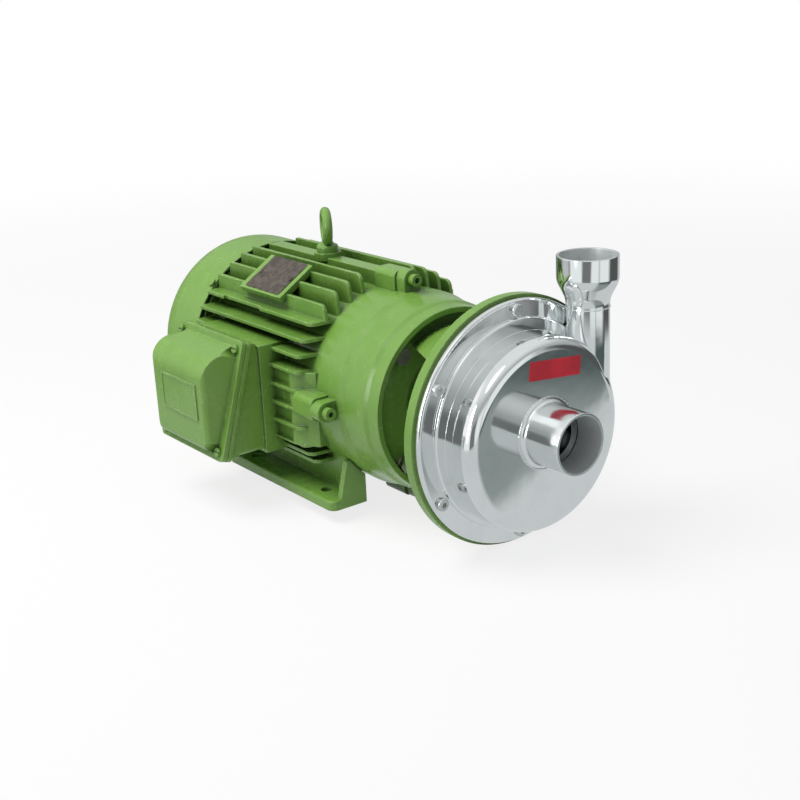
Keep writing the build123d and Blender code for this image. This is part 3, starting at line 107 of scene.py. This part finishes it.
class Recipe:
    """The nodes of a material, or of the room, in the making."""

    def __init__(self, tree):
        self.tree = tree

    def node(self, kind, settings=None, inputs=None, output=0):
        """Adds a node: its settings first, then the values or links of its sockets."""
        made = self.tree.nodes.new(kind)
        for name, value in (settings or {}).items():
            if name == "stops":
                set_stops(made.color_ramp.elements, value)
            else:
                setattr(made, name, value)
        for name, value in (inputs or {}).items():
            if isinstance(value, Signal):
                self.tree.links.new(value.socket, made.inputs[name])
            else:
                made.inputs[name].default_value = value
        return Signal(self, made.outputs[output])

    def mix(self, amount, first, second):
        """Blends two colours."""
        return self.node("ShaderNodeMix", {"data_type": "RGBA"}, {0: amount, 6: first, 7: second}, 2)

    def parts(self, vector):
        """The three parts of a vector."""
        made = self.node("ShaderNodeSeparateXYZ", None, {0: vector}).socket.node
        return [Signal(self, output) for output in made.outputs]

    def rays(self):
        """Whether a ray comes from the camera, from a gloss, or through glass."""
        made = self.node("ShaderNodeLightPath").socket.node
        kinds = ("Is Camera Ray", "Is Glossy Ray", "Is Transmission Ray")
        return [Signal(self, made.outputs[kind]) for kind in kinds]


class Finish(Recipe):
    """A material in the making."""

    def __init__(self, name):
        self.material = bpy.data.materials.new(name)
        self.material.use_nodes = True
        super().__init__(self.material.node_tree)
        self.surface = next(n for n in self.tree.nodes if n.type == "BSDF_PRINCIPLED")
        self.place = self.node("ShaderNodeTexCoord", output="Object")

    def noise(self, scale, detail=3.0, roughness=0.5, place=None, distortion=0.0):
        """Cloudy pattern on the object's own coordinates, or on another place."""
        return self.node("ShaderNodeTexNoise", {"noise_dimensions": "3D"},
                         {"Vector": place or self.place, "Scale": scale, "Detail": detail,
                          "Roughness": roughness, "Distortion": distortion}, "Fac")

    def place_from(self, point):
        """Object coordinates counted from a point."""
        return self.node("ShaderNodeMapping", None, {"Vector": self.place, "Location": [-c for c in point]})

    def bump(self, height, distance, strength, normal=None):
        """Relief of a height, on top of another normal where one is given."""
        inputs = {"Height": height, "Distance": distance, "Strength": strength}
        if normal is not None:
            inputs["Normal"] = normal
        return self.node("ShaderNodeBump", None, inputs)

    def soft_edges(self, radius):
        """Normal that rounds the edges off."""
        return self.node("ShaderNodeBevel", {"samples": 6}, {"Radius": radius})

    def set(self, **values):
        """Sets sockets of the surface shader by their names, with underscores for spaces."""
        for name, value in values.items():
            socket = self.surface.inputs[name.replace("_", " ")]
            if isinstance(value, Signal):
                self.tree.links.new(value.socket, socket)
            else:
                socket.default_value = value
        return self.material


def rgb(r, g, b):
    """Solid colour, as sockets and ramps take it."""
    return (r, g, b, 1.0)


def enamel(name):
    """Green machinery enamel on cast iron: thick, with painted shade in its hollows and a painted highlight
    on its edges.
    """
    green = rgb(0.155, 0.318, 0.052)
    light_green = rgb(0.18, 0.345, 0.064)
    pale_green = rgb(0.20, 0.365, 0.08)
    painted_shade_green = rgb(0.03, 0.08, 0.009)
    painted_highlight_green = rgb(0.36, 0.53, 0.21)
    f = Finish(name)
    drift = f.noise(9.0, 4.0, 0.6)
    cloud = f.noise(60.0, 3.0)
    tone = f.mix(drift.step(0.3, 0.7), green, light_green)
    tone = f.mix(cloud.step(0.35, 0.75, 0.0, 0.35), tone, pale_green)
    # Painted shade: the colour goes to deep green where ambient occlusion finds hollows, creases and gaps
    # between parts
    open_air = f.node("ShaderNodeAmbientOcclusion", {"samples": 6, "only_local": False},
                      {"Distance": 0.03}, "AO")
    tone = f.mix(open_air.step(0.15, 0.85, 0.85, 0.0), tone, painted_shade_green)
    soft = f.soft_edges(0.0016)
    flat = f.node("ShaderNodeNewGeometry", output="Normal")
    # Painted highlight: the colour is lightened on rounded edges that stand in the open
    bend = f.node("ShaderNodeVectorMath", {"operation": "DOT_PRODUCT"}, {0: soft, 1: flat}, "Value")
    edge_highlight = bend.step(0.86, 0.995, 0.8, 0.0) * open_air.step(0.5, 0.75) * cloud.step(0.2, 0.5, 0.5, 1.0)
    tone = f.mix(edge_highlight, tone, painted_highlight_green)
    sand = f.noise(420.0, 3.0, 0.6)
    peel = f.noise(950.0, 2.0)
    normal = f.bump(sand, 0.00012, 0.8, soft)
    normal = f.bump(peel, 0.00004, 0.7, normal)
    shine = cloud.step(0.3, 0.8, 0.2, 0.32)
    return f.set(Base_Color=tone, Roughness=shine, Normal=normal)


def polished(name, axis="X", centre=SHAFT, bore=None, bore_end=0.0, rough=0.05, deep=False):
    """Stainless steel polished round an axis, with faint lines and smears.

    The wall of its bore is satin from bore_end outwards, and a deep bore gets painted shade, nearly black,
    behind that.
    """
    bright = rgb(0.79, 0.81, 0.81)
    smeared = rgb(0.73, 0.755, 0.755)
    satin = rgb(0.66, 0.69, 0.69)
    shadowed = rgb(0.12, 0.125, 0.125)
    f = Finish(name)
    x, y, z = f.parts(f.place_from(centre))
    along, across, up = (x, y, z) if axis == "X" else (z, x, y)
    radius = (across * across + up * up).math("SQRT")
    turned = f.node("ShaderNodeCombineXYZ", None, {0: radius, 1: along, 2: 0.0})
    hair = f.noise(2600.0, 2.0, 0.7, turned)
    dents = f.noise(22.0, 2.0)
    smear = f.noise(30.0, 4.0, 0.6, distortion=0.6)
    normal = f.bump(dents, 0.0012, 0.25, f.soft_edges(0.0008))
    normal = f.bump(hair, 0.00001, 0.5, normal)
    shine = smear.step(0.35, 0.75, rough, rough + 0.07)
    tone = f.mix(smear.step(0.4, 0.8), bright, smeared)
    if not bore:
        return f.set(Base_Color=tone, Metallic=1.0, Roughness=shine, Normal=normal)
    inside = radius.step(bore, bore + 0.0003, 1.0, 0.0)
    wall = inside * along.step(bore_end, bore_end + 0.0005)
    # Painted shade: inside a deep bore the colour goes nearly black
    if deep:
        tone = f.mix(inside, tone, shadowed)
    tone = f.mix(wall, tone, satin)
    return f.set(Base_Color=tone, Metallic=1.0 - wall * 0.6, Roughness=shine + wall * 0.3, Normal=normal)


def metal(name, colour, rough=0.3, grain=300.0, depth=0.00004):
    """Plain machined or plated metal with a fine grain."""
    f = Finish(name)
    patch = f.noise(grain * 0.12, 3.0)
    fine = f.noise(grain, 3.0, 0.6)
    darker = tuple(c * 0.72 for c in colour)
    tone = f.mix(patch.step(0.35, 0.7), rgb(*colour), rgb(*darker))
    shine = patch.step(0.3, 0.7, rough, rough + 0.12)
    normal = f.bump(fine, depth, 0.6, f.soft_edges(0.0003))
    return f.set(Base_Color=tone, Metallic=1.0, Roughness=shine, Normal=normal)


def moulded(name, colour, rough):
    """Moulded plastic, rubber or ceramic."""
    f = Finish(name)
    patch = f.noise(40.0, 3.0)
    fine = f.noise(500.0, 2.0)
    lighter = tuple(min(1.0, c * 1.35 + 0.004) for c in colour)
    tone = f.mix(patch.step(0.35, 0.7), rgb(*colour), rgb(*lighter))
    shine = patch.step(0.3, 0.7, rough, rough + 0.1)
    normal = f.bump(fine, 0.00006, 0.6)
    return f.set(Base_Color=tone, Roughness=shine, Normal=normal)


def tarnished(name):
    """Thin aluminium plate, browned and blotchy."""
    brown = rgb(0.085, 0.07, 0.055)
    light_brown = rgb(0.17, 0.145, 0.125)
    bare = rgb(0.30, 0.28, 0.25)
    dirt = rgb(0.04, 0.038, 0.03)
    f = Finish(name)
    blotch = f.noise(130.0, 5.0, 0.65, distortion=0.8)
    speck = f.noise(700.0, 3.0, 0.7)
    tone = f.mix(blotch.step(0.35, 0.65), brown, light_brown)
    tone = f.mix(speck.step(0.6, 0.8, 0.0, 0.6), tone, bare)
    tone = f.mix(speck.step(0.25, 0.4, 0.6, 0.0), tone, dirt)
    shine = blotch.step(0.3, 0.7, 0.42, 0.6)
    normal = f.bump(blotch, 0.0001, 0.6, f.soft_edges(0.0003))
    return f.set(Base_Color=tone, Metallic=0.6, Roughness=shine, Normal=normal)


finishes = {
    "green_paint": enamel("green_enamel_cast"),
    "polished_stainless": polished("polished_stainless"),
    "stainless_plate": metal("turned_stainless", (0.62, 0.62, 0.63), 0.22, 600.0),
    "bolt_steel": metal("plated_bolts", (0.60, 0.58, 0.52), 0.28),
    "shaft_steel": metal("ground_shaft", (0.56, 0.56, 0.57), 0.2, 800.0),
    "bearing_steel": metal("bearing_steel", (0.70, 0.70, 0.71), 0.12, 900.0),
    "lamination": metal("stacked_sheet", (0.25, 0.25, 0.27), 0.4, 1500.0),
    "cast_aluminium": metal("cast_aluminium", (0.68, 0.68, 0.68), 0.4, 260.0, 0.0001),
    "copper_winding": metal("varnished_copper", (0.50, 0.19, 0.08), 0.3, 400.0, 0.0003),
    "brass": metal("brass", (0.70, 0.50, 0.20), 0.25),
    "black_plastic": moulded("black_plastic", (0.02, 0.02, 0.02), 0.45),
    "black_rubber": moulded("black_rubber", (0.018, 0.018, 0.018), 0.6),
    "ceramic": moulded("ceramic", (0.80, 0.78, 0.70), 0.2),
    "carbon": moulded("carbon", (0.05, 0.05, 0.05), 0.35),
    "plate_metal": tarnished("tarnished_plate"),
    "red_label": moulded("red_film", (0.62, 0.008, 0.028), 0.42),
}

# Some pieces differ from the rest of their slot
socket_low, socket_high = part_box("discharge_socket")
outlet = ((socket_low[0] + socket_high[0]) / 2, (socket_low[1] + socket_high[1]) / 2, 0.0)
own_finishes = {
    "discharge_neck": polished("polished_neck", "Z", outlet),
    "casing_bolts": metal("bright_casing_bolts", (0.74, 0.75, 0.75), 0.16),
    "casing_nuts": metal("bright_casing_nuts", (0.70, 0.71, 0.71), 0.2),
    "box_lid_gasket": finishes["green_paint"],
    "box_base_gasket": finishes["green_paint"],
}

slot_of = {entry["node"]: entry["material_slot"] for entry in frame["record"]["subparts"]}
for name, piece in frame["nodes"].items():
    piece.data.materials.clear()
    piece.data.materials.append(own_finishes.get(name, finishes[slot_of[name]]))


def turn(shape, rotation):
    """Turns a shape about the origin."""
    bmesh.ops.rotate(shape, verts=shape.verts, cent=(0, 0, 0), matrix=rotation)


def shift(shape, way):
    """Moves a shape."""
    bmesh.ops.translate(shape, verts=shape.verts, vec=way)


def spin_round(shape, steps):
    """Spins an outline a full turn round the X axis."""
    bmesh.ops.spin(shape, geom=shape.verts[:] + shape.edges[:], cent=(0, 0, 0), axis=(1, 0, 0),
                   dvec=(0, 0, 0), angle=2 * math.pi, steps=steps, use_merge=True)


def finished(name, shape, finish, sharp=0.6):
    """Makes a piece of a shape, smooth but for edges that bend more than sharp, in radians."""
    for face in shape.faces:
        face.smooth = True
    for edge in shape.edges:
        edge.smooth = edge.calc_face_angle(0.0) < sharp
    mesh = bpy.data.meshes.new(name)
    shape.to_mesh(mesh)
    shape.free()
    piece = bpy.data.objects.new(name, mesh)
    bpy.context.scene.collection.objects.link(piece)
    mesh.materials.append(finish)
    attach(piece, "pump_unit")
    return piece


def lathe(name, corners, axis, centre, finish):
    """Spins a closed outline of corners, each a place along the axis, a radius and a rounding."""
    shape = bmesh.new()
    points = [shape.verts.new((along, 0.0, radius)) for along, radius, _ in corners]
    for first, second in zip(points, points[1:] + points[:1]):
        shape.edges.new((first, second))
    for point, (_, _, rounding) in zip(points, corners):
        if rounding:
            bmesh.ops.bevel(shape, geom=[point], offset=rounding, affect="VERTICES", segments=6,
                            profile=0.5, material=-1)
    spin_round(shape, 144)
    bmesh.ops.remove_doubles(shape, verts=shape.verts, dist=0.000002)
    bmesh.ops.recalc_face_normals(shape, faces=shape.faces)
    if axis == "Z":
        turn(shape, X_TO_Z)
    shift(shape, centre)
    return finished(name, shape, finish)


def bead(radius, thickness, waves):
    """Ring of weld with a ripple, round the X axis."""
    shape = bmesh.new()
    bmesh.ops.create_circle(shape, cap_ends=False, segments=10, radius=thickness)
    turn(shape, Matrix.Rotation(math.radians(90), 3, "X"))
    shift(shape, (0.0, 0.0, radius))
    spin_round(shape, waves * 6)
    bmesh.ops.recalc_face_normals(shape, faces=shape.faces)
    for point in shape.verts:
        angle = math.atan2(point.co.z, point.co.y) * waves
        ripple = 0.16 * thickness * (math.sin(angle) + 0.4 * math.sin(angle * 0.5 + 1.0))
        flat = Vector((0.0, point.co.y, point.co.z))
        middle = flat.normalized() * radius
        point.co += (point.co - middle).normalized() * ripple
    return shape


def joined(shapes):
    """One shape out of several."""
    whole = bmesh.new()
    for shape in shapes:
        spare = bpy.data.meshes.new("spare")
        shape.to_mesh(spare)
        shape.free()
        whole.from_mesh(spare)
        bpy.data.meshes.remove(spare)
    return whole


# Both pipe ends are of one pipe, with thin soft-edged mouths
PIPE_R = 0.03015
PIPE_BORE_R = 0.0274
THROAT_R = 0.022
SATIN_R = 0.0277
LIP_OUTSIDE = 0.0007
LIP_INSIDE = 0.0005
BORE_CORNER = 0.0006

# Suction pipe, drawn out of the casing's face in a hollow curve
ROOT_REACH = 0.0055
ROOT_R = PIPE_R + ROOT_REACH
ROOT_CURVE = ROOT_REACH * 0.72
ROOT_BASE = 0.0001
ROOT_RIM = 0.0004
ROOT_RIM_R = ROOT_R - 0.0012
ROOT_CORNER = 0.0012
SUCTION_DEPTH = 0.033
SUCTION_CONE = 0.002
SUCTION_CONE_CORNER = 0.0003
THROAT_PAST_FACE = 0.002
EYE_CLEARANCE_R = 0.0256
nozzle_low, nozzle_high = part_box("suction_nozzle")
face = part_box("casing_shell")[1][0]
back = nozzle_low[0]
mouth = nozzle_high[0]
bore_floor = mouth - SUCTION_DEPTH
suction_finish = polished("polished_suction_pipe", "X", SHAFT, SATIN_R, bore_floor + 0.001, 0.12, deep=True)
suction_pipe = lathe("suction_pipe", [
    (back, EYE_CLEARANCE_R, 0.0),
    (back, PIPE_R, 0.0),
    (face + ROOT_BASE, PIPE_R, 0.0),
    (face + ROOT_BASE, ROOT_R, 0.0),
    (face + ROOT_RIM, ROOT_RIM_R, 0.0),
    (face + ROOT_CORNER, PIPE_R, ROOT_CURVE),
    (mouth, PIPE_R, LIP_OUTSIDE),
    (mouth, PIPE_BORE_R, LIP_INSIDE),
    (bore_floor, PIPE_BORE_R, BORE_CORNER),
    (bore_floor - SUCTION_CONE, THROAT_R, SUCTION_CONE_CORNER),
    (face - THROAT_PAST_FACE, THROAT_R, 0.0),
    (face - THROAT_PAST_FACE, EYE_CLEARANCE_R, 0.0)],
    "X", SHAFT, suction_finish)
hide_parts("suction_nozzle")

# Discharge cup: wide socket that draws in to the neck through soft shoulders
NECK_R = 0.0212
NECK_BORE_R = 0.0185
NECK_RISE = 0.0075
NECK_BEND = 0.0045
NECK_BORE_RISE = 0.004
SHOULDER_DROP = 0.0255
SHOULDER_BEND = 0.005
SOCKET_DEPTH = 0.026
SOCKET_CONE = 0.003
foot = socket_low[2]
top = socket_high[2]
socket_floor = top - SOCKET_DEPTH
cup_finish = polished("polished_cup", "Z", outlet, SATIN_R, socket_floor - 0.0005, 0.06)
discharge_cup = lathe("discharge_cup", [
    (foot, NECK_BORE_R, 0.0),
    (foot, NECK_R, 0.0),
    (foot + NECK_RISE, NECK_R, NECK_BEND),
    (top - SHOULDER_DROP, PIPE_R, SHOULDER_BEND),
    (top, PIPE_R, LIP_OUTSIDE),
    (top, PIPE_BORE_R, LIP_INSIDE),
    (socket_floor, PIPE_BORE_R, BORE_CORNER),
    (socket_floor - SOCKET_CONE, THROAT_R, 0.0),
    (foot + NECK_BORE_RISE, NECK_BORE_R, 0.0)],
    "Z", outlet, cup_finish)
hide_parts("discharge_socket")

# Welds: one round the root of the suction pipe, one where the cup meets the neck
WELD_R = 0.0007
WELD_SHARP = 1.2
face_bead = bead(ROOT_R - 0.0004, WELD_R, 44)
shift(face_bead, (face + 0.0002, 0.0, SHAFT.z))
neck_bead = bead(NECK_R, WELD_R, 30)
turn(neck_bead, X_TO_Z)
shift(neck_bead, (outlet[0], outlet[1], foot))
welds = joined([face_bead, neck_bead])
pipe_welds = finished("pipe_welds", welds, finishes["polished_stainless"], WELD_SHARP)
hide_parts("weld_beads")

# What polished steel mirrors low down all round: windows, dark flags and the dim camera side.
# Each pair is a compass angle, 0 towards the suction side, and a brightness.
ROUND_THE_ROOM = (
    (-180, 0.25), (-152, 0.25), (-143, 0.60), (-122, 0.60), (-114, 0.30), (-107, 0.98), (-67, 0.98),
    (-61, 0.20), (-34, 0.20), (-28, 0.95), (-5, 0.95), (-2, 0.50), (3, 0.95), (33, 0.95), (44, 0.10),
    (86, 0.10), (94, 0.60), (143, 0.60), (152, 0.25), (180, 0.25))
UNDER_CASING = Vector((0.27, 0.03, 0.0))

# To glossy rays the floor glows white up to this line, a painted reflection of a sheet under the object
REFLECTED_SHEET_EDGE = Vector((0.452, 0.093, 0.0))
REFLECTED_SHEET_AWAY = Vector((0.890, -0.456, 0.0))


def room_round(recipe, x, y):
    """Brightness of the room by compass."""
    around = y.math("ARCTAN2", x) * (0.5 / math.pi) + 0.5
    stops = [(angle / 360 + 0.5, rgb(shade * 0.96, shade, shade)) for angle, shade in ROUND_THE_ROOM]
    return recipe.node("ShaderNodeValToRGB", {"stops": stops}, {0: around})


def painted_floor_reflection(f):
    """Glow of the floor that only glossy rays see, a painted reflection: a white sheet, dark ground past
    its edge, then the room.
    """
    # Colours of the painted reflection, which glow only to glossy rays
    sheet = rgb(0.66, 0.69, 0.695)
    painted_near_ground = rgb(0.29, 0.33, 0.325)
    painted_far_ground = rgb(0.085, 0.11, 0.108)
    x, y, _ = f.parts(f.place)
    past_edge = x * REFLECTED_SHEET_AWAY.x + y * REFLECTED_SHEET_AWAY.y - REFLECTED_SHEET_EDGE.dot(REFLECTED_SHEET_AWAY)
    x, y, _ = f.parts(f.place_from(UNDER_CASING))
    distance = (x * x + y * y).math("SQRT")
    dark = past_edge.step(-0.01, 0.02) * y.step(-0.09, 0.05)
    ground = f.mix(distance.step(0.42, 0.66), painted_near_ground, painted_far_ground)
    seen = f.mix(dark, sheet, ground)
    return f.mix(distance.step(0.72, 0.84), seen, room_round(f, x, y))


def floor_finish():
    """Pale floor that keeps the object's shadow and fades to white for the camera."""
    white = rgb(1, 1, 1)
    f = Finish("floor")
    f.set(Base_Color=rgb(0.8, 0.8, 0.8), Roughness=0.9)
    camera_ray, glossy_ray, glass_ray = f.rays()
    x, y, _ = f.parts(f.place)
    reach = (x * x + y * y).math("SQRT")
    # Glossy rays see the floor glow with the painted reflection pattern
    glow = f.mix(glossy_ray, white, painted_floor_reflection(f))
    glow = f.node("ShaderNodeEmission", None, {"Color": glow, "Strength": 1.0})
    share = camera_ray * reach.step(0.6, 2.5, 0.8, 1.0) + glossy_ray + glass_ray
    blend = f.node("ShaderNodeMixShader", None, {0: share, 1: Signal(f, f.surface.outputs[0]), 2: glow})
    f.tree.links.new(blend.socket, f.tree.nodes["Material Output"].inputs[0])
    return f.material


def lay_floor():
    """Lays the floor at the object's lowest point."""
    mesh = bpy.data.meshes.new("floor")
    shape = bmesh.new()
    bmesh.ops.create_grid(shape, x_segments=1, y_segments=1, size=6.0)
    shift(shape, (0.0, 0.0, cad_low[2]))
    shape.to_mesh(mesh)
    shape.free()
    floor = bpy.data.objects.new("floor", mesh)
    bpy.context.scene.collection.objects.link(floor)
    mesh.materials.append(floor_finish())


def light_room():
    """White to the camera; to what mirrors it, a dome over windows and flags, with a high window."""
    white = rgb(1, 1, 1)
    plain_light = rgb(0.30, 0.305, 0.31)
    low_dome = rgb(0.45, 0.47, 0.47)
    high_dome = rgb(0.85, 0.87, 0.87)
    high_window = rgb(1.1, 1.1, 1.1)
    world = bpy.data.worlds.new("room")
    bpy.context.scene.world = world
    world.use_nodes = True
    r = Recipe(world.node_tree)
    camera_ray, glossy_ray, glass_ray = r.rays()
    x, y, z = r.parts(r.node("ShaderNodeTexCoord", output="Generated"))
    dome = r.mix(z.step(0.3, 0.8), low_dome, high_dome)
    room = r.mix(z.step(0.12, 0.3), room_round(r, x, y), dome)
    window = (x * -0.55 + y * -0.75 + z * 0.36).step(0.8, 0.95)
    room = r.mix(window, room, high_window)
    seen = r.mix(glossy_ray, plain_light, room)
    seen = r.mix((camera_ray + glass_ray).math("MINIMUM", 1.0), seen, white)
    r.tree.links.new(seen.socket, r.tree.nodes["Background"].inputs["Color"])


def lamp(name, place, aim, size, power, lights=True, mirrored=True):
    """Soft lamp of a width and a height, which lights the object, shows in its gloss, or both."""
    data = bpy.data.lights.new(name, "AREA")
    data.shape = "ELLIPSE"
    data.size, data.size_y = size
    data.energy = power
    thing = bpy.data.objects.new(name, data)
    thing.location = place
    thing.rotation_mode = "QUATERNION"
    thing.rotation_quaternion = (Vector(aim) - Vector(place)).to_track_quat("-Z", "Y")
    thing.visible_diffuse = lights
    thing.visible_glossy = mirrored
    bpy.context.scene.collection.objects.link(thing)


def aim_camera():
    """Puts the camera at the photograph's viewing angle."""
    azimuth, elevation, roll = (math.radians(a) for a in (53.3926, 18.5375, -2.8207))
    target = Vector((0.080606, 0.0, 0.09032))
    distance = 1.4442175
    focal_pixels = 1343.75
    frame_pixels = 800.0
    back = Vector((math.sin(azimuth) * math.cos(elevation), -math.cos(azimuth) * math.cos(elevation),
                   math.sin(elevation)))
    right = (-back).cross(Vector((0, 0, 1))).normalized()
    up = right.cross(-back)
    level = math.cos(roll) * right + math.sin(roll) * up
    upright = -math.sin(roll) * right + math.cos(roll) * up
    data = bpy.data.cameras.new("camera")
    data.sensor_width = 36.0
    data.lens = focal_pixels * data.sensor_width / frame_pixels
    data.clip_start = 0.05
    data.clip_end = 50.0
    camera = bpy.data.objects.new("camera", data)
    camera.matrix_world = Matrix((level, upright, back)).transposed().to_4x4()
    camera.location = target + back * distance
    bpy.context.scene.collection.objects.link(camera)
    bpy.context.scene.camera = camera


lay_floor()
light_room()
lamp("key", (-0.35, -0.95, 2.0), (0.0, 0.0, 0.1), (1.5, 1.5), 48.0, mirrored=False)
lamp("fill", (1.2, -0.8, 1.9), (0.1, 0.0, 0.1), (1.2, 1.2), 2.0)
lamp("window", (0.35, -2.4, 0.75), (0.1, 0.0, 0.15), (0.7, 1.7), 22.0, lights=False)
aim_camera()
bpy.context.scene.view_settings.view_transform = "Standard"
